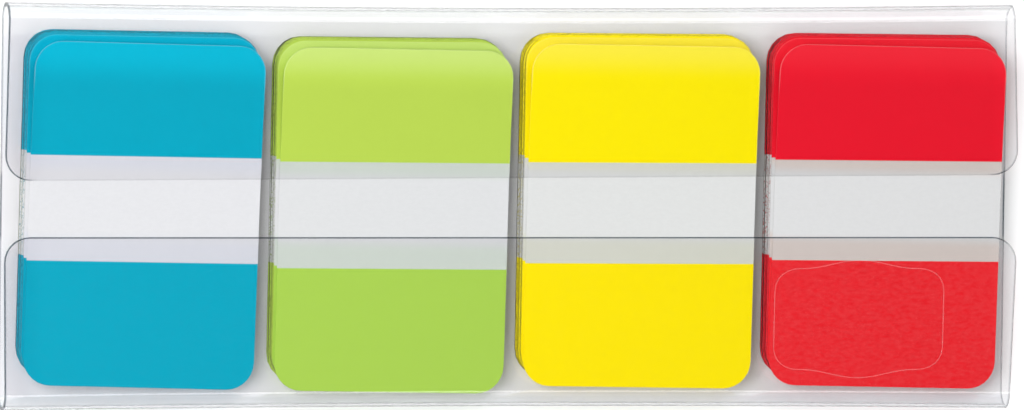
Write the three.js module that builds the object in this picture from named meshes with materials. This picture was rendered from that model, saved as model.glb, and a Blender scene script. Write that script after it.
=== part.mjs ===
import * as THREE from 'three';

// Sticky index tabs in their flat dispenser: one clear sheet rolled over at top and bottom,
// and four pads of film tabs lying side by side in it. Millimetres.
// It lies on its back: X runs along the row of pads, Y toward the top roll, Z out of the front.
// Z = 0 is the underside of the back panel.

// Tabs
const tab_width = 25.4;
const tab_length = 37.2;
const tab_thickness = 0.11;
const tab_corner_radius = 3.0;
const glue_line = 0.01;
const tabs_per_pad = 22;
const loose_tabs_per_pad = 2;
const steps_per_tab_corner = 7;
const steps_per_lift = 10;
const tip_clearance = 0.07;
const lift_length = 15.0;

// Stack of the tabs that are still stuck together
const steps_per_stack_corner = 5;
const tabs_per_ridge = 2;
const ridge_groove = 0.05;
const stray_across = 0.05;
const stray_along = 0.06;
const stack_lean_across = 0.2;
const stack_lean_along = -0.23;

// Row of pads
const pad_gap = 2.1;
const row_shift = 0.27;
const stack_rise = 0.31;
const under_tab_shift = 0.12;
const under_tab_drop = 0.08;
const top_tab_shift = 0.45;
const top_tab_drop = 0.8;

// Each pad has its own turn and height in the row, and its top tab has a little extra turn.
const pads = [
  { name: 'blue', turn_deg: -0.95, y: -0.09, top_turn_deg: -0.5, stray_phase: 0.4 },
  { name: 'green', turn_deg: -0.45, y: -0.64, top_turn_deg: -0.5, stray_phase: 1.9 },
  { name: 'yellow', turn_deg: -0.28, y: -0.18, top_turn_deg: -0.6, stray_phase: 3.1 },
  { name: 'red', turn_deg: -0.5, y: -0.21, top_turn_deg: -0.7, stray_phase: 4.6 },
];

// Dispenser sheet, with its margin beside the row of pads and its room past the tabs' ends
const end_margin = 1.85;
const end_room = 3.4;
const sheet_thickness = 0.3;
const roll_radius = 2.0;
const top_roll_bow = 0.48;
const bottom_roll_bow = 0.34;
const flap_tilt = THREE.MathUtils.degToRad(2.2);
const flap_flare = 0.4;
const flap_corner_radius = 2.8;
const upper_edge_y = 3.25;
const upper_edge_rise = 0.7;
const lower_edge_y = -3.15;

// Fineness of the sheet's mesh
const columns_across_sheet = 14;
const steps_per_flap_corner = 7;
const steps_per_flap = 3;
const steps_per_roll = 16;
const steps_per_back = 3;

// Bare clear label stuck on the lower flap, over the last pad
const label_shift = -2.92;
const label_below_edge = 8.95;
const label_width = 19.0;
const label_height = 12.0;
const label_corner_radius = 3.0;
const label_wave = 0.45;
const label_thickness = 0.05;
const label_glue = 0.02;
const steps_per_label_corner = 6;
const steps_per_label = 14;

const pad_pitch = tab_width + pad_gap;
const padX = (index) => row_shift + (index - (pads.length - 1) / 2) * pad_pitch;
const sheet_width = pads.length * tab_width + (pads.length - 1) * pad_gap + 2 * end_margin;
const sheet_height = tab_length + 2 * end_room;
const sheet_half = sheet_width / 2;
const label_x = padX(pads.length - 1) + label_shift;
const label_y = lower_edge_y - label_below_edge;
const middle_radius = roll_radius - sheet_thickness / 2;
const roll_sweep = Math.PI - flap_tilt;

function geometryFrom(points, faces) {
  const geometry = new THREE.BufferGeometry();
  geometry.setAttribute('position', new THREE.Float32BufferAttribute(points.flat(), 3));
  geometry.setIndex(faces.flat());
  geometry.computeVertexNormals();
  return geometry;
}

// Closes a sheet over rows and columns. face(row, column, side) gives a point of its
// outer (side 1) or inner (side -1) face, and the rim joins the two all the way round.
function closedSheet(rows, columns, face) {
  const points = [];
  const faces = [];
  const across = columns + 1;
  const inner_start = (rows + 1) * across;
  for (const side of [1, -1]) {
    for (let row = 0; row <= rows; row += 1) {
      for (let column = 0; column <= columns; column += 1) {
        points.push(face(row, column, side));
      }
    }
  }
  const outer = (row, column) => row * across + column;
  const inner = (row, column) => inner_start + row * across + column;
  const quad = (a, b, c, d) => faces.push([a, b, c], [a, c, d]);
  for (let row = 0; row < rows; row += 1) {
    for (let column = 0; column < columns; column += 1) {
      quad(outer(row, column), outer(row, column + 1), outer(row + 1, column + 1), outer(row + 1, column));
      quad(inner(row, column), inner(row + 1, column), inner(row + 1, column + 1), inner(row, column + 1));
    }
    quad(outer(row, 0), outer(row + 1, 0), inner(row + 1, 0), inner(row, 0));
    quad(outer(row, columns), inner(row, columns), inner(row + 1, columns), outer(row + 1, columns));
  }
  for (let column = 0; column < columns; column += 1) {
    quad(outer(0, column), inner(0, column), inner(0, column + 1), outer(0, column + 1));
    quad(outer(rows, column), outer(rows, column + 1), inner(rows, column + 1), inner(rows, column));
  }
  return geometryFrom(points, faces);
}

// Distances from a rounded end, from the end itself to where the corner meets the side.
function cornerDistances(radius, steps) {
  const distances = [];
  for (let step = 0; step <= steps; step += 1) {
    const angle = (Math.PI / 2) * (step / steps);
    distances.push(radius * (1 - Math.cos(angle)));
  }
  return distances;
}

// How far the side stands in from full width at a distance from a rounded end.
function cornerInset(distance, radius) {
  if (distance >= radius) {
    return 0;
  }
  const short = radius - distance;
  return radius - Math.sqrt(Math.max(0, radius * radius - short * short));
}

// The folded sheet: where its rolls and free edges run at each x.
const bowAt = (x, bow) => bow * (1 - (x / sheet_half) ** 2);
const topRollY = (x) => sheet_height / 2 - roll_radius - bowAt(x, top_roll_bow);
const bottomRollY = (x) => -(sheet_height / 2 - roll_radius) + bowAt(x, bottom_roll_bow);
const upperEdgeY = (x) => upper_edge_y + upper_edge_rise * (x / sheet_width);

// Length of a flap along its own slope, from the end of its roll to its free edge.
function flapLength(x, upper) {
  const roll_y = upper ? topRollY(x) : -bottomRollY(x);
  const edge_y = upper ? upperEdgeY(x) : -lower_edge_y;
  return (roll_y + middle_radius * Math.sin(flap_tilt) - edge_y) / Math.cos(flap_tilt);
}

// Point and outward direction of the sheet's middle on one flap, from_edge before its free edge.
function flapPoint(x, from_edge, upper) {
  const length = flapLength(x, upper);
  const run = length - from_edge;
  const roll_y = upper ? topRollY(x) : -bottomRollY(x);
  const y = roll_y + middle_radius * Math.sin(flap_tilt) - run * Math.cos(flap_tilt);
  const z = roll_radius + middle_radius * Math.cos(flap_tilt) + run * Math.sin(flap_tilt);
  const side = upper ? 1 : -1;
  return { y: side * y, z, out_y: side * Math.sin(flap_tilt), out_z: Math.cos(flap_tilt) };
}

function rollPoint(x, angle, upper) {
  const roll_y = upper ? topRollY(x) : -bottomRollY(x);
  const side = upper ? 1 : -1;
  const y = roll_y + middle_radius * Math.sin(angle);
  const z = roll_radius - middle_radius * Math.cos(angle);
  return { y: side * y, z, out_y: side * Math.sin(angle), out_z: -Math.cos(angle) };
}

function backPoint(x, share) {
  const y = THREE.MathUtils.lerp(bottomRollY(x), topRollY(x), share);
  return { y, z: sheet_thickness / 2, out_y: 0, out_z: -1 };
}

// The stations run round the folded sheet from one flap's free edge to the other's.
function flapStations(upper) {
  const stations = [];
  const shortest = flapLength(sheet_half, upper);
  for (const distance of cornerDistances(flap_corner_radius, steps_per_flap_corner)) {
    const half = sheet_half + flap_flare * (1 - distance / shortest);
    stations.push({
      halfWidth: half - cornerInset(distance, flap_corner_radius),
      at: (x) => flapPoint(x, distance, upper),
    });
  }
  for (let step = 1; step <= steps_per_flap; step += 1) {
    const share = step / steps_per_flap;
    const distanceAt = (x) => THREE.MathUtils.lerp(flap_corner_radius, flapLength(x, upper), share);
    stations.push({
      halfWidth: sheet_half + flap_flare * (1 - distanceAt(sheet_half) / shortest),
      at: (x) => flapPoint(x, distanceAt(x), upper),
    });
  }
  return stations;
}

function rollStations(upper) {
  const stations = [];
  for (let step = 1; step <= steps_per_roll; step += 1) {
    const angle = roll_sweep * (1 - step / steps_per_roll);
    stations.push({ halfWidth: sheet_half, at: (x) => rollPoint(x, angle, upper) });
  }
  return stations;
}

function dispenserGeometry() {
  const stations = [...flapStations(false), ...rollStations(false)];
  for (let step = 1; step < steps_per_back; step += 1) {
    stations.push({ halfWidth: sheet_half, at: (x) => backPoint(x, step / steps_per_back) });
  }
  stations.push(...rollStations(true).reverse(), ...flapStations(true).reverse());
  return closedSheet(stations.length - 1, columns_across_sheet, (row, column, side) => {
    const station = stations[row];
    const x = station.halfWidth * (1 - (2 * column) / columns_across_sheet);
    const { y, z, out_y, out_z } = station.at(x);
    const offset = (side * sheet_thickness) / 2;
    return [x, y + out_y * offset, z + out_z * offset];
  });
}

// A lifted tab lies flat up to lift_start and then bends up by one even curve.
// It returns the height and slope of its underside at a distance along it from the middle.
function liftAt(along, lift_start, lift_height) {
  const run = along - lift_start;
  if (run <= 0 || lift_height === 0) {
    return { y: along, z: 0, slope: 0 };
  }
  const full_run = tab_length / 2 - lift_start;
  const radius = (full_run * full_run) / (2 * lift_height);
  const angle = run / radius;
  return { y: lift_start + radius * Math.sin(angle), z: radius * (1 - Math.cos(angle)), slope: angle };
}

function tabGeometry(lift_height) {
  const half = tab_length / 2;
  const corner = cornerDistances(tab_corner_radius, steps_per_tab_corner);
  const lift_start = half - lift_length;
  const stations = corner.map((distance) => -half + distance);
  const straight = half - tab_corner_radius - lift_start;
  for (let step = 0; step < steps_per_lift; step += 1) {
    stations.push(lift_start + straight * (step / steps_per_lift));
  }
  stations.push(...corner.map((distance) => half - distance).reverse());
  return closedSheet(stations.length - 1, 1, (row, column, side) => {
    const along = stations[row];
    const inset = cornerInset(half - Math.abs(along), tab_corner_radius);
    const x = (tab_width / 2 - inset) * (column === 0 ? -1 : 1);
    const { y, z, slope } = liftAt(along, lift_start, lift_height);
    const up = side === 1 ? tab_thickness : 0;
    return [x, y - Math.sin(slope) * up, z + Math.cos(slope) * up];
  });
}

// Outline of a tab with rounded corners, counter-clockwise.
function tabOutline() {
  const points = [];
  const centre_x = tab_width / 2 - tab_corner_radius;
  const centre_y = tab_length / 2 - tab_corner_radius;
  const corners = [[1, 1, 0], [-1, 1, 1], [-1, -1, 2], [1, -1, 3]];
  for (const [side_x, side_y, quarter] of corners) {
    for (let step = 0; step <= steps_per_stack_corner; step += 1) {
      const angle = (Math.PI / 2) * (quarter + step / steps_per_stack_corner);
      const x = side_x * centre_x + tab_corner_radius * Math.cos(angle);
      const y = side_y * centre_y + tab_corner_radius * Math.sin(angle);
      points.push([x, y]);
    }
  }
  return points;
}

// The stuck tabs as one body. It leans a little, every pair of tabs is a ridge that strays from
// the next, and a fine groove runs between ridges where the die-cut edges part.
function stackGeometry(tabs, stray_phase) {
  const ridges = tabs / tabs_per_ridge;
  const ridge_height = tabs_per_ridge * tab_thickness;
  const rings = [];
  for (let ridge = 0; ridge < ridges; ridge += 1) {
    const level = ridge / (ridges - 1);
    const stray_x = stack_lean_across * level + stray_across * Math.sin(2.4 * ridge + stray_phase);
    const stray_y = stack_lean_along * level + stray_along * Math.cos(1.7 * ridge + stray_phase);
    const bottom = ridge * ridge_height + (ridge === 0 ? 0 : ridge_groove / 2);
    const top = (ridge + 1) * ridge_height - (ridge === ridges - 1 ? 0 : ridge_groove / 2);
    const outline = tabOutline();
    rings.push(outline.map(([x, y]) => [x + stray_x, y + stray_y, bottom]));
    rings.push(outline.map(([x, y]) => [x + stray_x, y + stray_y, top]));
  }
  const count = rings[0].length;
  const faces = [];
  for (let ring = 0; ring < rings.length - 1; ring += 1) {
    for (let index = 0; index < count; index += 1) {
      const next = (index + 1) % count;
      const below = ring * count;
      const above = below + count;
      faces.push([below + index, below + next, above + next]);
      faces.push([below + index, above + next, above + index]);
    }
  }
  const last = (rings.length - 1) * count;
  for (let index = 1; index < count - 1; index += 1) {
    faces.push([0, index + 1, index]);
    faces.push([last, last + index, last + index + 1]);
  }
  return geometryFrom(rings.flat(), faces);
}

// Outer face of the lower flap at a point of the page.
function lowerFlapZ(x, y) {
  const run = (-bottomRollY(x) + roll_radius * Math.sin(flap_tilt) + y) / Math.cos(flap_tilt);
  return roll_radius + roll_radius * Math.cos(flap_tilt) + run * Math.sin(flap_tilt);
}

// The label's long edges wave gently, and its ends are rounded.
function labelGeometry() {
  const half = label_width / 2;
  const corner = cornerDistances(label_corner_radius, steps_per_label_corner);
  const straight = half - label_corner_radius;
  const stations = corner.map((distance) => half - distance);
  for (let step = 1; step < steps_per_label; step += 1) {
    stations.push(THREE.MathUtils.lerp(straight, -straight, step / steps_per_label));
  }
  stations.push(...corner.map((distance) => distance - half).reverse());
  return closedSheet(stations.length - 1, 1, (row, column, side) => {
    const across = stations[row];
    const inset = cornerInset(half - Math.abs(across), label_corner_radius);
    const wave = label_wave * Math.cos((3 * Math.PI * across) / label_width);
    const reach = label_height / 2 - inset + wave;
    const x = label_x + across;
    const y = label_y + (column === 0 ? -reach : reach);
    const rise = label_glue + (side === 1 ? label_thickness : 0);
    return [x, y, lowerFlapZ(x, y) + rise];
  });
}

const group = new THREE.Group();
group.name = 'index_tab_pack';

function addPart(name, geometry, color, settings = {}) {
  const material = new THREE.MeshStandardMaterial({ color, roughness: 0.45, ...settings });
  const mesh = new THREE.Mesh(geometry, material);
  mesh.name = name;
  group.add(mesh);
  return mesh;
}

const pad_colors = { blue: 0x00abc8, green: 0xaed455, yellow: 0xffe600, red: 0xe61c2e };

const clear = { transparent: true, opacity: 0.35, roughness: 0.1 };
addPart('dispenser', dispenserGeometry(), 0xe8ebee, clear);
addPart('clear_label', labelGeometry(), 0xf2f4f6, clear);

const stack_tabs = tabs_per_pad - loose_tabs_per_pad;
const stack_z = sheet_thickness + glue_line;
const under_tab_z = stack_z + stack_tabs * tab_thickness + glue_line;
const top_tab_z = under_tab_z + tab_thickness + glue_line;
const flap_inner_at_tip = roll_radius + middle_radius - sheet_thickness / 2;
const tip_lift = flap_inner_at_tip - tip_clearance - (top_tab_z + tab_thickness);

pads.forEach((pad, index) => {
  const x = padX(index);
  const turn = THREE.MathUtils.degToRad(pad.turn_deg);
  const top_turn = turn + THREE.MathUtils.degToRad(pad.top_turn_deg);
  const color = pad_colors[pad.name];

  const stack = addPart(`${pad.name}_stack`, stackGeometry(stack_tabs, pad.stray_phase), color);
  stack.position.set(x - stack_lean_across / 2, pad.y + stack_rise, stack_z);
  stack.rotation.z = turn;

  const under_tab = addPart(`${pad.name}_under_tab`, tabGeometry(0), color);
  under_tab.position.set(x + under_tab_shift, pad.y - under_tab_drop, under_tab_z);
  under_tab.rotation.z = turn;

  const top_tab = addPart(`${pad.name}_top_tab`, tabGeometry(tip_lift), color);
  top_tab.position.set(x + top_tab_shift, pad.y - top_tab_drop, top_tab_z);
  top_tab.rotation.z = top_turn;
});

export default group;
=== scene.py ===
import math

import bpy
from mathutils import Matrix, Vector

# Sticky index tabs in a flat clear dispenser, lying on its back and seen from the front.
# Everything is in metres. MM turns millimetres into metres.
MM = 0.001

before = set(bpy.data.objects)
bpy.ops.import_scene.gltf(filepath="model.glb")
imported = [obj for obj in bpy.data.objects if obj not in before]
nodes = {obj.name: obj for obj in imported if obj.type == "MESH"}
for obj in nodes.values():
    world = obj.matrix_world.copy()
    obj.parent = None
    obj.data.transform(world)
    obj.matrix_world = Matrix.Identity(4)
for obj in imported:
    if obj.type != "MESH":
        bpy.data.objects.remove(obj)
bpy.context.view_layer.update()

# Sizes of the tabs, the sheet and the label, as in the part
TAB_WIDTH = 25.4 * MM
TAB_LENGTH = 37.2 * MM
TAB_THICKNESS = 0.11 * MM
TAB_CORNER = 3.0 * MM
SHEET_THICKNESS = 0.3 * MM
SHEET_WIDTH = 111.6 * MM
FLAP_FLARE = 0.4 * MM
FLAP_LENGTH = 16.5 * MM
FLAP_CORNER = 2.8 * MM
UPPER_EDGE_Y = 3.25 * MM
UPPER_EDGE_RISE = 0.7 * MM
LOWER_EDGE_Y = -3.15 * MM
LABEL_WIDTH = 19.0 * MM
LABEL_LENGTH = 12.0 * MM
LABEL_CORNER = 3.0 * MM
LABEL_WAVE = 0.45 * MM
PAD_PITCH = 27.5 * MM
ROW_SHIFT = 0.27 * MM

# How each layer of a pad sits against the middle of the pad
STACK_OFFSET = (0.0, 0.195 * MM)
UNDER_TAB_OFFSET = (0.12 * MM, -0.08 * MM)
TOP_TAB_OFFSET = (0.45 * MM, -0.8 * MM)

# The pads in their order along the row:
#   y, turn: place along the page, and turn in degrees
#   top_turn: how much further its top tab is turned, in degrees
#   stack_ends, top_tab_ends: lengths of the coloured ends, top end first
#   film, low_film: the film's colour at the top end and at the low end
#   milk: what the clear film shows of the white middles under it
#   spill: painted coloured light, the tint of that clear film away from the slot
#   side_shade: how much light is left at the foot of the pad's sides
#   tip_lift, sheen: a painted highlight and painted sheen, how much brighter and how much whiter the tip
#       of the top end is
#   frost: how frosted the low end looks
PADS = {
    "blue": {
        "y": -0.09 * MM,
        "turn": -0.95,
        "top_turn": -0.5,
        "stack_ends": (12.8 * MM, 13.1 * MM),
        "top_tab_ends": (12.27 * MM, 13.55 * MM),
        "film": (0.0, 0.375, 0.515),
        "low_film": (0.0, 0.37, 0.505),
        "milk": (0.648, 0.648, 0.666),
        "spill": (0.97, 0.99, 1.03),
        "side_shade": 0.32,
        "tip_lift": 1.24,
        "sheen": 0.0,
        "frost": 0.003,
    },
    "green": {
        "y": -0.64 * MM,
        "turn": -0.45,
        "top_turn": -0.5,
        "stack_ends": (12.8 * MM, 12.9 * MM),
        "top_tab_ends": (12.35 * MM, 13.35 * MM),
        "film": (0.49, 0.675, 0.085),
        "low_film": (0.395, 0.63, 0.08),
        "milk": (0.627, 0.632, 0.637),
        "spill": (0.92, 1.0, 0.89),
        "side_shade": 0.15,
        "tip_lift": 1.14,
        "sheen": 0.10,
        "frost": 0.005,
    },
    "yellow": {
        "y": -0.18 * MM,
        "turn": -0.28,
        "top_turn": -0.6,
        "stack_ends": (13.1 * MM, 13.0 * MM),
        "top_tab_ends": (12.83 * MM, 13.45 * MM),
        "film": (1.0, 0.83, 0.0),
        "low_film": (1.0, 0.80, 0.0),
        "milk": (0.637, 0.642, 0.632),
        "spill": (1.0, 1.0, 0.88),
        "side_shade": 0.15,
        "tip_lift": 1.02,
        "sheen": 0.05,
        "frost": 0.002,
    },
    "red": {
        "y": -0.21 * MM,
        "turn": -0.5,
        "top_turn": -0.7,
        "stack_ends": (13.05 * MM, 13.3 * MM),
        "top_tab_ends": (12.55 * MM, 13.75 * MM),
        "film": (0.84, 0.008, 0.025),
        "low_film": (0.85, 0.012, 0.020),
        "milk": (0.627, 0.627, 0.627),
        "spill": (1.0, 0.88, 0.82),
        "side_shade": 0.15,
        "tip_lift": 1.10,
        "sheen": 0.012,
        "frost": 0.016,
    },
}

# In the values below, a pair is a range that something changes over, from none to full.
# Noise scales are in features per metre.

# Loose tabs, where a distance along a tab is taken from its middle
END_SOFTNESS = 0.06 * MM
# Painted highlight: a light line round the loose tabs' outlines, stronger toward the tip
TAB_RIM = (0.03 * MM, 0.15 * MM)
RIM_ALONG = (12.5 * MM, 15.5 * MM)
RIM_LOW_SHARE = 0.1
UNDER_RIM_SHARE = 0.1
TOP_RIM_SHARE = 0.25
RIM_HIGHLIGHT_SHARE = 0.5
# Painted highlight and sheen: where the tip of a top end is painted brighter, then whiter
TIP_ALONG = (13.6 * MM, 17.6 * MM)
SHEEN_ALONG = (14.8 * MM, 18.2 * MM)
SLOT_ALONG = 1.1 * MM
# Painted coloured light: how far from the slot the spill tint sets in
SPILL_FROM_SLOT = (3.1 * MM, 4.4 * MM)
MILK_LIFT = 1.03
FROST_SHARES = (0.2, 2.0)
FROST_GREY = 0.85
SPECK_LEVELS = (0.3, 0.7)
SPECK_SHARE = 0.002
FILM_IOR = 1.5
TAB_SPECULAR = 0.07
TAB_ROUGHNESS = (0.30, 0.40)
TAB_BUMP = 0.2

# Grain of the matt film
FINE_GRAIN = 5200.0
COARSE_GRAIN = 2600.0
BLOTCH_STRETCH = (0.5, 1.0, 1.0)
BLOTCH_LEVELS = (0.34, 0.66)
FILM_BUMP_DEPTH = 0.01 * MM

# Sides of the stuck tabs, where a level is a count of tabs from the sheet up
SIDE_UPRIGHT = (0.85, 0.5)
RAG_SCALE = 3200.0
RAG_STRETCH = (1.0, 1.0, 0.4)
RAG_HEIGHT = 0.5
ODD_FROM_MIDDLE = (0.2, 0.3)
SEAM_FROM_MIDDLE = (0.3, 0.5)
SEAM_DEPTH = 0.6
NICK_LEVELS = (0.5, 0.6)
# Painted shade: over these levels the sides go from their painted shade at the foot to their lit colour
LIT_LEVELS = (4.0, 22.0)
TORN_WIDTH = 0.24 * MM
TORN_SHARE = 0.75
TORN_SHADE = 0.5
# Painted shade on the sides: the film's shade at their top, the milky middle's shade at their foot, and
# its colour at their top
HIGH_SIDE_SHADE = 0.8
MILK_SIDE_SHADE = (1.1, 1.15, 0.9)
HIGH_MILK = (0.66, 0.66, 0.64)
EVEN_LAYER_GREY = 0.86
SEAM_SHARE = 0.4
SEAM_GREY = 0.03
STACK_SPECULAR = 0.2
STACK_ROUGHNESS = (0.42, 0.6)
STACK_BUMP = 0.3

# Clear sheet: its ripples, scuffs and cut edges
RIPPLE_SCALE = 120.0
RIPPLE_STRETCH = (0.35, 1.0, 1.0)
RIPPLE_END_Y = (20.6 * MM, 19.6 * MM)
SCUFF_SCALE = 700.0
SCUFF_STRETCH = (0.15, 1.0, 1.0)
SCUFF_LEVELS = (0.35, 0.75)
SCUFF_HAZE = (0.5, 2.0)
END_CUT_NORMAL = (0.3, 0.5)
END_CUT_X = (-10.0 * MM, 10.0 * MM)
RIGHT_END_CUT = 0.5
FLAT_NORMAL = (0.6, 0.4)
SLOT_CUT_Y = (4.6 * MM, 4.2 * MM)
CUT_ROUGHNESS = 0.45
CLEAR_BUMP = 0.5

# Clear sheet: the painted dark lines along its edges, and how strong they are in places
EDGE_LINE_WIDTH = 0.2 * MM
FLAP_Z = (1.0 * MM, 1.2 * MM)
UPPER_HALF_Y = (-0.1 * MM, 0.1 * MM)
UPPER_END_X = (52.5 * MM, 54.5 * MM)
UPPER_MIDDLE_LINE = 0.1
RIGHT_SIDE_X = (54.0 * MM, 55.5 * MM)
RIGHT_SIDE_LINE = 0.4
BACK_HIDDEN_Y = (3.0 * MM, 4.0 * MM)
BACK_HIDDEN_LINE = 0.45

# Clear sheet: its tint at the left, and the painted shade and light that change it to the right and in
# each zone.
# A zone is an axis (0 for x, 1 for y), a range along it, its share and its tint.
SHEET_TINT = (0.94, 0.932, 0.948)
RIGHT_TINT_AND_SHADE = (0.89, 0.89, 0.89)
RIGHTWARD_X = (-50.0 * MM, 50.0 * MM)
TINT_AND_SHADE_ZONES = (
    (0, (52.5 * MM, 54.8 * MM), 1.0, (0.93, 0.935, 0.94)),
    (0, (-51.5 * MM, -53.5 * MM), 1.0, (0.90, 0.89, 0.912)),
    (1, (18.0 * MM, 19.0 * MM), 0.5, (1.0, 1.0, 1.0)),
    (1, (20.1 * MM, 20.4 * MM), 1.0, (0.98, 0.98, 0.985)),
    (1, (-20.3 * MM, -20.6 * MM), 1.0, (0.86, 0.865, 0.88)),
)

# Clear sheet: the painted grey shade line where a roll turns away from the eye
FOLD_Y = (20.4 * MM, 21.0 * MM)
FOLD_FACING = (0.40, 0.80)
FOLD_SHADE = (0.55, 0.57, 0.59)
FOLD_MATT_SHARE = 0.45
FOLD_GREY = 0.3

# Clear label: the line along its outline
LABEL_RIM = (0.04 * MM, 0.12 * MM)
LABEL_RIM_SHARE = 0.07
LABEL_RIM_GREY = 0.85

# The table
FLOOR_SIZE = 6.0
FLOOR_DROP = 0.02 * MM
FLOOR_GREYS = (0.94, 0.96)
FLOOR_SCALE = 60.0
FLOOR_LEVELS = (0.3, 0.7)
FLOOR_GLOW = 0.01

# The light: a bright sky that is dark overhead, and soft lamps by place, size and watts
SKY_COLOUR = (0.97, 0.985, 1.0)
SKY_HEIGHT = (0.90, 0.70)
SKY_STRENGTH = (0.02, 0.85)
SOFTBOXES = {
    "left softbox": ((-0.24, 0.06, 0.44), (0.3, 0.25), 1.6),
    "top softbox": ((0.25, 0.72, 0.65), (0.7, 0.35), 1.7),
    "strip softbox": ((0.22, -0.40, 0.89), (0.6, 0.12), 0.8),
}

# The camera: how far it leans to the left and toward the top, and how it is framed
LEAN_LEFT = math.radians(13.0)
LEAN_UP = math.radians(3.5)
CAMERA_DISTANCE = 1.8
SENSOR_WIDTH = 36.0
FRAME_WIDTH = 110.98 * MM
AIM = Vector((0.75 * MM, 0.05 * MM, 0.0))

# How finely split corners are joined, and the angles up to which a surface is shaded smooth
WELD_DISTANCE = 0.002 * MM
SHEET_SMOOTH_ANGLE = math.radians(40)
FILM_SMOOTH_ANGLE = math.radians(30)

WHITE = (1.0, 1.0, 1.0, 1.0)


def opaque(colour, factor=1.0):
    """A colour made lighter or darker by a factor, with no channel past 1."""
    return (*(min(1.0, factor * channel) for channel in colour), 1.0)


def grey(level):
    return (level, level, level, 1.0)


def add_node(tree, kind, **settings):
    node = tree.nodes.new(kind)
    for name, value in settings.items():
        setattr(node, name, value)
    return node


def feed(tree, source, target):
    """Links a socket to another, or sets the other's own value."""
    if isinstance(source, bpy.types.NodeSocket):
        tree.links.new(source, target)
    else:
        target.default_value = source


def maths(tree, operation, first, second=None, third=None):
    node = add_node(tree, "ShaderNodeMath", operation=operation)
    for index, value in enumerate((first, second, third)):
        if value is not None:
            feed(tree, value, node.inputs[index])
    return node.outputs[0]


def axes_of(tree, vector):
    """The x, y and z of a vector."""
    split = add_node(tree, "ShaderNodeSeparateXYZ")
    feed(tree, vector, split.inputs[0])
    return split.outputs


def ramp(tree, value, low, high, to_low=0.0, to_high=1.0, smooth=True):
    """A value carried from one range to another, held at both ends."""
    node = add_node(tree, "ShaderNodeMapRange", clamp=True)
    node.interpolation_type = "SMOOTHSTEP" if smooth else "LINEAR"
    for index, part in enumerate((value, low, high, to_low, to_high)):
        feed(tree, part, node.inputs[index])
    return node.outputs[0]


def mixed(tree, share, first, second):
    """One value or the other, by a share from 0 to 1."""
    node = add_node(tree, "ShaderNodeMix", data_type="FLOAT")
    feed(tree, share, node.inputs[0])
    feed(tree, first, node.inputs[2])
    feed(tree, second, node.inputs[3])
    return node.outputs[0]


def mixed_shaders(tree, share, first, second):
    node = add_node(tree, "ShaderNodeMixShader")
    feed(tree, share, node.inputs[0])
    feed(tree, first, node.inputs[1])
    feed(tree, second, node.inputs[2])
    return node.outputs[0]


def rounded_reach(tree, over_x, over_y):
    """Distance past the inner box of a rounded outline, for a point past it by over_x and over_y."""
    out_x = maths(tree, "MAXIMUM", over_x, 0.0)
    out_y = maths(tree, "MAXIMUM", over_y, 0.0)
    squares = maths(tree, "MULTIPLY_ADD", out_x, out_x, maths(tree, "MULTIPLY", out_y, out_y))
    inner = maths(tree, "MINIMUM", maths(tree, "MAXIMUM", over_x, over_y), 0.0)
    return maths(tree, "ADD", maths(tree, "SQRT", squares), inner)


def blend_colours(tree, share, first, second, kind="MIX"):
    node = add_node(tree, "ShaderNodeMix", data_type="RGBA", blend_type=kind)
    feed(tree, share, node.inputs[0])
    feed(tree, first, node.inputs[6])
    feed(tree, second, node.inputs[7])
    return node.outputs[2]


def noise(tree, place, scale, detail=2.0, roughness=0.5):
    node = add_node(tree, "ShaderNodeTexNoise")
    feed(tree, place, node.inputs["Vector"])
    node.inputs["Scale"].default_value = scale
    node.inputs["Detail"].default_value = detail
    node.inputs["Roughness"].default_value = roughness
    return node.outputs[0]


def stretched(tree, place, scale):
    """Coordinates stretched by three factors."""
    node = add_node(tree, "ShaderNodeMapping")
    feed(tree, place, node.inputs["Vector"])
    node.inputs["Scale"].default_value = scale
    return node.outputs[0]


def object_place(tree):
    return add_node(tree, "ShaderNodeTexCoord").outputs["Object"]


def true_normal(tree):
    return add_node(tree, "ShaderNodeNewGeometry").outputs["True Normal"]


def new_group(name, inputs, outputs):
    group = bpy.data.node_groups.new(name, "ShaderNodeTree")
    for label, kind, value in inputs:
        socket = group.interface.new_socket(label, in_out="INPUT", socket_type=kind)
        socket.default_value = value
    for label in outputs:
        group.interface.new_socket(label, in_out="OUTPUT", socket_type="NodeSocketFloat")
    start = add_node(group, "NodeGroupInput")
    end = add_node(group, "NodeGroupOutput")
    return group, start, end


def place_group(tree, group, **values):
    node = add_node(tree, "ShaderNodeGroup", node_tree=group)
    for label, value in values.items():
        feed(tree, value, node.inputs[label.replace("_", " ")])
    return node


def new_material(name, viewport):
    material = bpy.data.materials.new(name)
    material.use_nodes = True
    material.diffuse_color = (*viewport, 1.0)
    tree = material.node_tree
    tree.nodes.clear()
    output = add_node(tree, "ShaderNodeOutputMaterial")
    return material, tree, output


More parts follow.
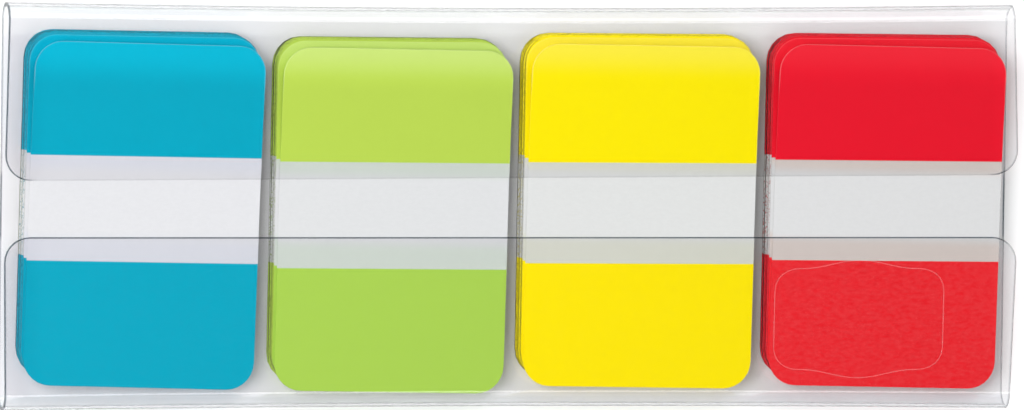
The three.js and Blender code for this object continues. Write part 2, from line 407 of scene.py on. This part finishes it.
def tab_layout_group():
    """Where a point lies on a tab: how far up it, how far in from its outline, and on which end."""
    group, start, end = new_group(
        "tab layout",
        [
            ("Centre", "NodeSocketVector", (0.0, 0.0, 0.0)),
            ("Turn", "NodeSocketFloat", 0.0),
            ("Top end", "NodeSocketFloat", PADS["blue"]["stack_ends"][0]),
            ("Low end", "NodeSocketFloat", PADS["blue"]["stack_ends"][1]),
            ("Slant", "NodeSocketFloat", 0.0),
        ],
        ["Along", "Inset", "Top mask", "Low mask"],
    )
    turned = add_node(group, "ShaderNodeVectorRotate", rotation_type="Z_AXIS")
    feed(group, object_place(group), turned.inputs["Vector"])
    feed(group, start.outputs["Centre"], turned.inputs["Center"])
    feed(group, maths(group, "MULTIPLY", start.outputs["Turn"], -1.0), turned.inputs["Angle"])
    local = add_node(group, "ShaderNodeVectorMath", operation="SUBTRACT")
    feed(group, turned.outputs[0], local.inputs[0])
    feed(group, start.outputs["Centre"], local.inputs[1])
    across, along, _ = axes_of(group, local.outputs[0])
    over_x = maths(group, "SUBTRACT", maths(group, "ABSOLUTE", across), TAB_WIDTH / 2 - TAB_CORNER)
    over_y = maths(group, "SUBTRACT", maths(group, "ABSOLUTE", along), TAB_LENGTH / 2 - TAB_CORNER)
    inset = maths(group, "SUBTRACT", TAB_CORNER, rounded_reach(group, over_x, over_y))
    top_from = maths(group, "SUBTRACT", TAB_LENGTH / 2, start.outputs["Top end"])
    low_from = maths(group, "SUBTRACT", start.outputs["Low end"], TAB_LENGTH / 2)
    slanted = maths(group, "MULTIPLY_ADD", across, start.outputs["Slant"], along)
    top_over = maths(group, "SUBTRACT", slanted, top_from)
    low_over = maths(group, "SUBTRACT", low_from, slanted)
    feed(group, along, end.inputs["Along"])
    feed(group, inset, end.inputs["Inset"])
    feed(group, ramp(group, top_over, -END_SOFTNESS, END_SOFTNESS), end.inputs["Top mask"])
    feed(group, ramp(group, low_over, -END_SOFTNESS, END_SOFTNESS), end.inputs["Low mask"])
    return group


def film_grain_group():
    """Fine mottling of matt film, and the slower blotches where glue has wet the film unevenly."""
    group, start, end = new_group(
        "film grain",
        [("Seed", "NodeSocketFloat", 0.0)],
        ["Grain", "Blotch", "Height"],
    )
    shift = add_node(group, "ShaderNodeCombineXYZ")
    feed(group, start.outputs["Seed"], shift.inputs[0])
    feed(group, start.outputs["Seed"], shift.inputs[1])
    moved = add_node(group, "ShaderNodeVectorMath", operation="ADD")
    feed(group, object_place(group), moved.inputs[0])
    feed(group, shift.outputs[0], moved.inputs[1])
    place = moved.outputs[0]
    blotch_place = stretched(group, place, BLOTCH_STRETCH)
    blotch = noise(group, blotch_place, COARSE_GRAIN, detail=5.0, roughness=0.8)
    feed(group, noise(group, place, FINE_GRAIN, detail=1.0), end.inputs["Grain"])
    feed(group, ramp(group, blotch, *BLOTCH_LEVELS), end.inputs["Blotch"])
    feed(group, noise(group, place, COARSE_GRAIN, detail=1.0), end.inputs["Height"])
    return group


def cut_edges_group():
    """Fine lines of stacked film on a pad's sides, where every other tab shows its coloured end, and a
    rise for their painted shade.
    """
    group, start, end = new_group(
        "cut edges",
        [("Base", "NodeSocketFloat", SHEET_THICKNESS), ("Step", "NodeSocketFloat", TAB_THICKNESS)],
        ["Side", "Odd", "Seam", "Nick", "Rise"],
    )
    spot = object_place(group)
    normal_z = axes_of(group, true_normal(group))[2]
    height = axes_of(group, spot)[2]
    risen = maths(group, "SUBTRACT", height, start.outputs["Base"])
    level = maths(group, "DIVIDE", risen, start.outputs["Step"])
    rag_place = stretched(group, spot, RAG_STRETCH)
    rag = noise(group, rag_place, RAG_SCALE, detail=3.0, roughness=0.65)
    wobble = maths(group, "MULTIPLY", maths(group, "SUBTRACT", rag, 0.5), RAG_HEIGHT)
    level = maths(group, "ADD", level, wobble)
    in_pair = maths(group, "FRACT", maths(group, "MULTIPLY", level, 0.5))
    from_pair_middle = maths(group, "ABSOLUTE", maths(group, "SUBTRACT", in_pair, 0.5))
    in_tab = maths(group, "FRACT", level)
    from_tab_middle = maths(group, "ABSOLUTE", maths(group, "SUBTRACT", in_tab, 0.5))
    seam = ramp(group, from_tab_middle, *SEAM_FROM_MIDDLE, 0.0, SEAM_DEPTH)
    nick = ramp(group, noise(group, spot, FINE_GRAIN, detail=2.0, roughness=0.7), *NICK_LEVELS)
    side = ramp(group, maths(group, "ABSOLUTE", normal_z), *SIDE_UPRIGHT)
    feed(group, side, end.inputs["Side"])
    feed(group, ramp(group, from_pair_middle, *ODD_FROM_MIDDLE), end.inputs["Odd"])
    feed(group, maths(group, "MAXIMUM", seam, nick), end.inputs["Seam"])
    feed(group, nick, end.inputs["Nick"])
    feed(group, ramp(group, level, *LIT_LEVELS), end.inputs["Rise"])
    return group


def sheet_wave_group():
    """Slow ripples, a faint haze and the frosted cut edges of clear sheet."""
    group, start, end = new_group(
        "clear sheet wave",
        [("Haze", "NodeSocketFloat", 0.03)],
        ["Height", "Roughness", "Cut"],
    )
    spot = object_place(group)
    x, y, _ = axes_of(group, spot)
    normal_x, _, normal_z = axes_of(group, true_normal(group))
    from_middle = maths(group, "ABSOLUTE", y)
    ripple = noise(group, stretched(group, spot, RIPPLE_STRETCH), RIPPLE_SCALE, detail=1.0)
    height = maths(group, "MULTIPLY", ripple, ramp(group, from_middle, *RIPPLE_END_Y))
    scuff_place = stretched(group, spot, SCUFF_STRETCH)
    scuff = noise(group, scuff_place, SCUFF_SCALE, detail=2.0, roughness=0.7)
    scuffed = ramp(group, scuff, *SCUFF_LEVELS, *SCUFF_HAZE)
    rough = maths(group, "MULTIPLY", start.outputs["Haze"], scuffed)
    end_cut = ramp(group, maths(group, "ABSOLUTE", normal_x), *END_CUT_NORMAL)
    end_share = ramp(group, x, *END_CUT_X, 1.0, RIGHT_END_CUT)
    end_cut = maths(group, "MULTIPLY", end_cut, end_share)
    upright = ramp(group, maths(group, "ABSOLUTE", normal_z), *FLAT_NORMAL)
    slot_cut = maths(group, "MULTIPLY", upright, ramp(group, from_middle, *SLOT_CUT_Y))
    cut = maths(group, "MAXIMUM", end_cut, slot_cut)
    cut_rough = maths(group, "MULTIPLY", cut, CUT_ROUGHNESS)
    feed(group, height, end.inputs["Height"])
    feed(group, maths(group, "MAXIMUM", rough, cut_rough), end.inputs["Roughness"])
    feed(group, cut, end.inputs["Cut"])
    return group


def edge_lines_group():
    """Thin painted dark lines along the sheet's cut edges, where light that runs inside the sheet leaves
    it.
    """
    group, start, end = new_group(
        "edge lines",
        [("Width", "NodeSocketFloat", EDGE_LINE_WIDTH)],
        ["Line"],
    )
    x, y, z = axes_of(group, object_place(group))
    on_flap = ramp(group, z, *FLAP_Z)
    on_upper = ramp(group, y, *UPPER_HALF_Y)
    upper_edge = maths(group, "MULTIPLY_ADD", x, UPPER_EDGE_RISE / SHEET_WIDTH, UPPER_EDGE_Y)
    from_upper = maths(group, "SUBTRACT", y, upper_edge)
    from_lower = maths(group, "SUBTRACT", LOWER_EDGE_Y, y)
    from_slot = mixed(group, on_upper, from_lower, from_upper)
    flare_slope = -FLAP_FLARE / FLAP_LENGTH
    flap_half = maths(group, "MULTIPLY_ADD", from_slot, flare_slope, SHEET_WIDTH / 2 + FLAP_FLARE)
    half = mixed(group, on_flap, SHEET_WIDTH / 2, flap_half)
    from_edge = mixed(group, on_flap, FLAP_LENGTH, from_slot)
    away = maths(group, "ABSOLUTE", x)
    over_x = maths(group, "ADD", maths(group, "SUBTRACT", away, half), FLAP_CORNER)
    over_y = maths(group, "SUBTRACT", FLAP_CORNER, from_edge)
    inset = maths(group, "SUBTRACT", FLAP_CORNER, rounded_reach(group, over_x, over_y))
    width = start.outputs["Width"]
    line = ramp(group, inset, width, maths(group, "MULTIPLY", width, 0.5))
    upper_share = ramp(group, away, *UPPER_END_X, UPPER_MIDDLE_LINE, 1.0)
    right_share = ramp(group, x, *RIGHT_SIDE_X, 1.0, RIGHT_SIDE_LINE)
    flap_share = mixed(group, on_upper, 1.0, upper_share)
    flap_share = maths(group, "MULTIPLY", flap_share, right_share)
    from_middle = maths(group, "ABSOLUTE", y)
    back_share = ramp(group, from_middle, *BACK_HIDDEN_Y, 1.0, BACK_HIDDEN_LINE)
    share = mixed(group, on_flap, back_share, flap_share)
    feed(group, maths(group, "MULTIPLY", line, share), end.inputs["Line"])
    return group


def let_light_through(tree, shader, tint, output):
    """Lamps and bounced light pass straight through a clear piece, so that what it covers is lit."""
    path = add_node(tree, "ShaderNodeLightPath")
    passing = maths(tree, "MAXIMUM", path.outputs["Is Shadow Ray"], path.outputs["Is Diffuse Ray"])
    through = add_node(tree, "ShaderNodeBsdfTransparent")
    through.inputs["Color"].default_value = opaque(tint)
    surface = mixed_shaders(tree, passing, shader, through.outputs[0])
    feed(tree, surface, output.inputs["Surface"])


def with_matt_line(tree, surface, share, level):
    """A clear piece that turns matt and grey by a share from 0 to 1."""
    matt = add_node(tree, "ShaderNodeBsdfPrincipled")
    matt.inputs["Base Color"].default_value = grey(level)
    matt.inputs["Roughness"].default_value = 0.5
    return mixed_shaders(tree, share, surface, matt.outputs[0])


def label_rim(tree, centre):
    """A hair's width along the label's wavy outline, where its cut edge catches the light."""
    x, y, _ = axes_of(tree, object_place(tree))
    out_x = maths(tree, "ABSOLUTE", maths(tree, "SUBTRACT", x, centre[0]))
    out_y = maths(tree, "ABSOLUTE", maths(tree, "SUBTRACT", y, centre[1]))
    turn = maths(tree, "MULTIPLY", out_x, 3.0 * math.pi / LABEL_WIDTH)
    out_y = maths(tree, "MULTIPLY_ADD", maths(tree, "COSINE", turn), -LABEL_WAVE, out_y)
    over_x = maths(tree, "SUBTRACT", out_x, LABEL_WIDTH / 2 - LABEL_CORNER)
    over_y = maths(tree, "SUBTRACT", out_y, LABEL_LENGTH / 2 - LABEL_CORNER)
    inset = maths(tree, "SUBTRACT", LABEL_CORNER, rounded_reach(tree, over_x, over_y))
    return ramp(tree, inset, *LABEL_RIM, LABEL_RIM_SHARE, 0.0)


def sheet_tint_and_shade(tree, place):
    """The clear sheet's tint, with painted shade and light from left to right and along its margins."""
    # Painted shade: the sheet darkens from left to right
    rightward = ramp(tree, place[0], *RIGHTWARD_X, smooth=False)
    tint = blend_colours(tree, rightward, opaque(SHEET_TINT), opaque(RIGHT_TINT_AND_SHADE))
    # Painted shade and light by zone: darker at the left end and under the lower roll, lighter at the
    # right end, above the pads and on the upper roll
    for axis, zone, share, zone_tint in TINT_AND_SHADE_ZONES:
        in_zone = ramp(tree, place[axis], *zone, 0.0, share)
        tint = blend_colours(tree, in_zone, tint, opaque(zone_tint))
    return tint


def fold_line(tree, place):
    """Where the sheet's rolls turn away from the eye, for a painted grey shade line."""
    grazing = add_node(tree, "ShaderNodeLayerWeight")
    grazing.inputs["Blend"].default_value = 0.5
    in_roll = ramp(tree, maths(tree, "ABSOLUTE", place[1]), *FOLD_Y)
    return maths(tree, "MULTIPLY", ramp(tree, grazing.outputs["Facing"], *FOLD_FACING), in_roll)


def clear_plastic(tree, wave, colour, cut, cut_tint, wave_depth, ior):
    bump = add_node(tree, "ShaderNodeBump")
    bump.inputs["Strength"].default_value = CLEAR_BUMP
    bump.inputs["Distance"].default_value = wave_depth
    feed(tree, wave.outputs["Height"], bump.inputs["Height"])
    plastic = add_node(tree, "ShaderNodeBsdfPrincipled")
    plastic.inputs["IOR"].default_value = ior
    plastic.inputs["Transmission Weight"].default_value = 1.0
    feed(tree, blend_colours(tree, cut, colour, opaque(cut_tint)), plastic.inputs["Base Color"])
    feed(tree, wave.outputs["Roughness"], plastic.inputs["Roughness"])
    feed(tree, bump.outputs["Normal"], plastic.inputs["Normal"])
    return plastic.outputs[0]


def clear_sheet(wave_group, lines_group):
    material, tree, output = new_material("clear sheet", SHEET_TINT)
    wave = place_group(tree, wave_group, Haze=0.02)
    lines = place_group(tree, lines_group)
    place = axes_of(tree, object_place(tree))
    fold = fold_line(tree, place)
    # Painted shade: the cut edges and the lines along them are painted dark grey
    surface = clear_plastic(
        tree,
        wave,
        colour=blend_colours(tree, fold, sheet_tint_and_shade(tree, place), opaque(FOLD_SHADE)),
        cut=maths(tree, "MAXIMUM", wave.outputs["Cut"], lines.outputs["Line"]),
        cut_tint=(0.22, 0.25, 0.28),
        wave_depth=0.01 * MM,
        ior=1.46,
    )
    # Painted shade: the fold line also turns matt grey
    fold_share = maths(tree, "MULTIPLY", fold, FOLD_MATT_SHARE)
    surface = with_matt_line(tree, surface, fold_share, FOLD_GREY)
    let_light_through(tree, surface, (0.99, 0.99, 0.992), output)
    return material


def label_film(wave_group, centre):
    material, tree, output = new_material("label film", (0.995, 0.995, 0.995))
    wave = place_group(tree, wave_group, Haze=0.02)
    surface = clear_plastic(
        tree,
        wave,
        colour=grey(0.995),
        cut=wave.outputs["Cut"],
        cut_tint=(0.98, 0.98, 0.98),
        wave_depth=0.005 * MM,
        ior=1.12,
    )
    surface = with_matt_line(tree, surface, label_rim(tree, centre), LABEL_RIM_GREY)
    let_light_through(tree, surface, (0.998, 0.998, 0.998), output)
    return material


def film_plastic(tree, colour, grain, specular, roughness, bump_strength, output):
    bump = add_node(tree, "ShaderNodeBump")
    bump.inputs["Strength"].default_value = bump_strength
    bump.inputs["Distance"].default_value = FILM_BUMP_DEPTH
    feed(tree, grain.outputs["Height"], bump.inputs["Height"])
    plastic = add_node(tree, "ShaderNodeBsdfPrincipled")
    plastic.inputs["IOR"].default_value = FILM_IOR
    plastic.inputs["Specular IOR Level"].default_value = specular
    rough = ramp(tree, grain.outputs["Blotch"], 0.0, 1.0, *roughness)
    feed(tree, colour, plastic.inputs["Base Color"])
    feed(tree, rough, plastic.inputs["Roughness"])
    feed(tree, bump.outputs["Normal"], plastic.inputs["Normal"])
    feed(tree, plastic.outputs[0], output.inputs["Surface"])


def top_end_colour(tree, pad, layout, rim_share):
    """The coloured top end, with a painted highlight and sheen at its tip and along its outline."""
    along = layout.outputs["Along"]
    film = opaque(pad["film"])
    brighter = opaque(pad["tip_lift"] * channel for channel in pad["film"])
    rim_highlight = opaque(channel + RIM_HIGHLIGHT_SHARE * (1.0 - channel) for channel in pad["film"])
    # Painted highlight and painted sheen: the tip is painted brighter, then whiter
    colour = blend_colours(tree, ramp(tree, along, *TIP_ALONG), film, brighter)
    sheen = ramp(tree, along, *SHEEN_ALONG, 0.0, pad["sheen"])
    colour = blend_colours(tree, sheen, colour, WHITE)
    # Painted highlight: a light line round the outline, strongest toward the tip
    rim = ramp(tree, layout.outputs["Inset"], *TAB_RIM, 1.0, 0.0)
    rim = maths(tree, "MULTIPLY", rim, ramp(tree, along, *RIM_ALONG, RIM_LOW_SHARE, 1.0))
    return blend_colours(tree, maths(tree, "MULTIPLY", rim, rim_share), colour, rim_highlight)


def clear_end_colour(tree, pad, layout, grain):
    """The clear film over the white middles: milky in the slot, tinted by painted coloured light away
    from it.
    """
    plain = opaque(pad["milk"])
    lighter = opaque(pad["milk"], MILK_LIFT)
    milk = blend_colours(tree, grain.outputs["Blotch"], plain, lighter)
    from_slot = maths(tree, "SUBTRACT", layout.outputs["Along"], SLOT_ALONG)
    # Painted coloured light: the milk takes the pad's spill tint away from the slot
    spill = ramp(tree, maths(tree, "ABSOLUTE", from_slot), *SPILL_FROM_SLOT)
    tinted = blend_colours(tree, 1.0, milk, (*pad["spill"], 1.0), "MULTIPLY")
    return blend_colours(tree, spill, milk, tinted)


def tab_film(name, groups, pad, centre, turn, ends, slant, seed, rim_share):
    """One loose tab: colour at its top end, and clear film over the rest, which takes the look of
    the white middles and coloured ends of the tabs under it."""
    material, tree, output = new_material(name, pad["film"])
    layout = place_group(
        tree,
        groups["layout"],
        Centre=centre,
        Turn=turn,
        Top_end=ends[0],
        Low_end=ends[1],
        Slant=slant,
    )
    grain = place_group(tree, groups["grain"], Seed=seed)
    top = top_end_colour(tree, pad, layout, rim_share)
    middle = clear_end_colour(tree, pad, layout, grain)
    frost = [share * pad["frost"] for share in FROST_SHARES]
    cloud = ramp(tree, grain.outputs["Blotch"], 0.0, 1.0, *frost, smooth=False)
    low = blend_colours(tree, cloud, opaque(pad["low_film"]), grey(FROST_GREY))
    colour = blend_colours(tree, layout.outputs["Top mask"], middle, top)
    colour = blend_colours(tree, layout.outputs["Low mask"], colour, low)
    speck = ramp(tree, grain.outputs["Grain"], *SPECK_LEVELS, 0.0, SPECK_SHARE)
    colour = blend_colours(tree, speck, colour, WHITE)
    film_plastic(tree, colour, grain, TAB_SPECULAR, TAB_ROUGHNESS, TAB_BUMP, output)
    return material


def pad_stack(name, groups, pad, centre, turn, seed):
    """The stuck tabs: coloured ends, a milky middle, and ragged lines and painted shade on the sides."""
    material, tree, output = new_material(name, pad["film"])
    layout = place_group(
        tree,
        groups["layout"],
        Centre=centre,
        Turn=turn,
        Top_end=pad["stack_ends"][0],
        Low_end=pad["stack_ends"][1],
    )
    grain = place_group(tree, groups["grain"], Seed=seed)
    edges = place_group(tree, groups["edges"])
    shade = pad["side_shade"]
    ends = maths(tree, "MAXIMUM", layout.outputs["Top mask"], layout.outputs["Low mask"])
    face = blend_colours(tree, ends, opaque(pad["milk"]), opaque(pad["film"]))
    torn = ramp(tree, layout.outputs["Inset"], 0.0, TORN_WIDTH, TORN_SHARE, 0.0)
    torn = maths(tree, "MULTIPLY", torn, edges.outputs["Nick"])
    face = blend_colours(tree, torn, face, opaque(pad["film"], TORN_SHADE))
    # Painted shade: the sides darken toward their foot, where the pads shade each other
    shaded_side = opaque(pad["film"], shade)
    high_side = opaque(pad["film"], HIGH_SIDE_SHADE)
    film_side = blend_colours(tree, edges.outputs["Rise"], shaded_side, high_side)
    shaded_milk = opaque(MILK_SIDE_SHADE, shade)
    milk_side = blend_colours(tree, edges.outputs["Rise"], shaded_milk, opaque(HIGH_MILK))
    side = blend_colours(tree, ends, milk_side, film_side)
    layers = blend_colours(tree, edges.outputs["Odd"], grey(EVEN_LAYER_GREY), WHITE)
    side = blend_colours(tree, 1.0, side, layers, "MULTIPLY")
    seam = maths(tree, "MULTIPLY", edges.outputs["Seam"], SEAM_SHARE)
    side = blend_colours(tree, seam, side, grey(SEAM_GREY))
    colour = blend_colours(tree, edges.outputs["Side"], face, side)
    film_plastic(tree, colour, grain, STACK_SPECULAR, STACK_ROUGHNESS, STACK_BUMP, output)
    return material


def smooth_by_angle_tree(name, limit):
    """Joins the node's split corners, then shades it smooth except across edges sharper than limit."""
    tree = bpy.data.node_groups.new(name, "GeometryNodeTree")
    tree.interface.new_socket("Geometry", in_out="INPUT", socket_type="NodeSocketGeometry")
    tree.interface.new_socket("Geometry", in_out="OUTPUT", socket_type="NodeSocketGeometry")
    start = add_node(tree, "NodeGroupInput")
    end = add_node(tree, "NodeGroupOutput")
    weld = add_node(tree, "GeometryNodeMergeByDistance")
    feed(tree, start.outputs[0], weld.inputs["Geometry"])
    weld.inputs["Distance"].default_value = WELD_DISTANCE
    faces = add_node(tree, "GeometryNodeSetShadeSmooth", domain="FACE")
    feed(tree, weld.outputs[0], faces.inputs["Geometry"])
    edges = add_node(tree, "GeometryNodeSetShadeSmooth", domain="EDGE")
    feed(tree, faces.outputs[0], edges.inputs["Geometry"])
    angle = add_node(tree, "GeometryNodeInputMeshEdgeAngle")
    sharp = add_node(tree, "FunctionNodeCompare", data_type="FLOAT", operation="GREATER_THAN")
    feed(tree, angle.outputs[0], sharp.inputs[0])
    sharp.inputs[1].default_value = limit
    feed(tree, sharp.outputs[0], edges.inputs["Selection"])
    edges.inputs["Shade Smooth"].default_value = False
    feed(tree, edges.outputs[0], end.inputs[0])
    return tree


def dress(node_name, material, smooth_tree):
    piece = nodes[node_name]
    piece.data.materials.clear()
    piece.data.materials.append(material)
    smooth = piece.modifiers.new("smooth by angle", "NODES")
    smooth.node_group = smooth_tree


def dress_pads(groups, smooth_tree):
    for index, (name, pad) in enumerate(PADS.items()):
        middle = Vector((ROW_SHIFT + (index - (len(PADS) - 1) / 2) * PAD_PITCH, pad["y"]))
        turn = math.radians(pad["turn"])
        top_turn = turn + math.radians(pad["top_turn"])
        seed = 0.05 * index
        stack = pad_stack(
            f"{name} pad",
            groups,
            pad,
            centre=(*(middle + Vector(STACK_OFFSET)), 0.0),
            turn=turn,
            seed=0.1 + seed,
        )
        under_tab = tab_film(
            f"{name} under tab",
            groups,
            pad,
            centre=(*(middle + Vector(UNDER_TAB_OFFSET)), 0.0),
            turn=turn,
            ends=pad["stack_ends"],
            slant=0.0,
            seed=0.3 + seed,
            rim_share=UNDER_RIM_SHARE,
        )
        top_tab = tab_film(
            f"{name} top tab",
            groups,
            pad,
            centre=(*(middle + Vector(TOP_TAB_OFFSET)), 0.0),
            turn=top_turn,
            ends=pad["top_tab_ends"],
            slant=math.tan(top_turn - turn),
            seed=0.5 + seed,
            rim_share=TOP_RIM_SHARE,
        )
        dress(f"{name}_stack", stack, smooth_tree)
        dress(f"{name}_under_tab", under_tab, smooth_tree)
        dress(f"{name}_top_tab", top_tab, smooth_tree)


def white_table():
    material, tree, output = new_material("white table", (0.9, 0.9, 0.9))
    speckle = noise(tree, object_place(tree), FLOOR_SCALE, detail=4.0)
    darker, lighter = (grey(level) for level in FLOOR_GREYS)
    colour = blend_colours(tree, ramp(tree, speckle, *FLOOR_LEVELS), darker, lighter)
    top = add_node(tree, "ShaderNodeBsdfPrincipled")
    top.inputs["Roughness"].default_value = 0.9
    top.inputs["Specular IOR Level"].default_value = 0.1
    feed(tree, colour, top.inputs["Base Color"])
    path = add_node(tree, "ShaderNodeLightPath")
    seen = maths(tree, "MAXIMUM", path.outputs["Is Camera Ray"], path.outputs["Is Glossy Ray"])
    seen = maths(tree, "MAXIMUM", seen, path.outputs["Is Transmission Ray"])
    glow = add_node(tree, "ShaderNodeEmission")
    feed(tree, maths(tree, "MULTIPLY", seen, FLOOR_GLOW), glow.inputs["Strength"])
    total = add_node(tree, "ShaderNodeAddShader")
    feed(tree, top.outputs[0], total.inputs[0])
    feed(tree, glow.outputs[0], total.inputs[1])
    feed(tree, total.outputs[0], output.inputs["Surface"])
    bpy.ops.mesh.primitive_plane_add(size=FLOOR_SIZE, location=(0, 0, -FLOOR_DROP))
    table = bpy.context.object
    table.name = "table_top"
    table.data.materials.append(material)


def sky():
    world = bpy.data.worlds.new("studio")
    bpy.context.scene.world = world
    world.use_nodes = True
    tree = world.node_tree
    tree.nodes.clear()
    direction = add_node(tree, "ShaderNodeTexCoord").outputs["Generated"]
    height = axes_of(tree, direction)[2]
    background = add_node(tree, "ShaderNodeBackground")
    background.inputs["Color"].default_value = opaque(SKY_COLOUR)
    strength = ramp(tree, height, *SKY_HEIGHT, *SKY_STRENGTH)
    feed(tree, strength, background.inputs["Strength"])
    output = add_node(tree, "ShaderNodeOutputWorld")
    feed(tree, background.outputs[0], output.inputs["Surface"])


def softbox(name, place, size, power):
    """A flat soft lamp that points at the part."""
    lamp = bpy.data.lights.new(name, "AREA")
    lamp.shape = "RECTANGLE"
    lamp.size, lamp.size_y = size
    lamp.energy = power
    lamp_object = bpy.data.objects.new(name, lamp)
    bpy.context.scene.collection.objects.link(lamp_object)
    lamp_object.location = place
    away = Vector(place).normalized()
    lamp_object.rotation_euler = away.to_track_quat("Z", "Y").to_euler()


def camera():
    lens = bpy.data.cameras.new("camera")
    lens.sensor_width = SENSOR_WIDTH
    lens.lens = SENSOR_WIDTH * CAMERA_DISTANCE / FRAME_WIDTH
    lens.clip_start = 0.1
    lens.clip_end = 50.0
    toward = Vector((-math.tan(LEAN_LEFT), math.tan(LEAN_UP), 1.0)).normalized()
    up = Vector((0.0, toward.z, -toward.y)).normalized()
    right = up.cross(toward)
    camera_object = bpy.data.objects.new("camera", lens)
    bpy.context.scene.collection.objects.link(camera_object)
    turn = Matrix((right, up, toward)).transposed().to_4x4()
    camera_object.matrix_world = Matrix.Translation(AIM + toward * CAMERA_DISTANCE) @ turn
    bpy.context.scene.camera = camera_object


def middle_of(piece):
    corners = [piece.matrix_world @ Vector(corner) for corner in piece.bound_box]
    return sum(corners, Vector()) / len(corners)


pad_groups = {
    "layout": tab_layout_group(),
    "grain": film_grain_group(),
    "edges": cut_edges_group(),
}
sheet_wave = sheet_wave_group()
smooth_sheet = smooth_by_angle_tree("smooth sheet", SHEET_SMOOTH_ANGLE)
smooth_film = smooth_by_angle_tree("smooth film", FILM_SMOOTH_ANGLE)

label_material = label_film(sheet_wave, middle_of(nodes["clear_label"]))
dress("dispenser", clear_sheet(sheet_wave, edge_lines_group()), smooth_sheet)
dress("clear_label", label_material, smooth_sheet)
dress_pads(pad_groups, smooth_film)
white_table()
sky()
for lamp_name, (lamp_place, lamp_size, lamp_power) in SOFTBOXES.items():
    softbox(lamp_name, lamp_place, lamp_size, lamp_power)
camera()
bpy.context.scene.view_settings.view_transform = "Standard"
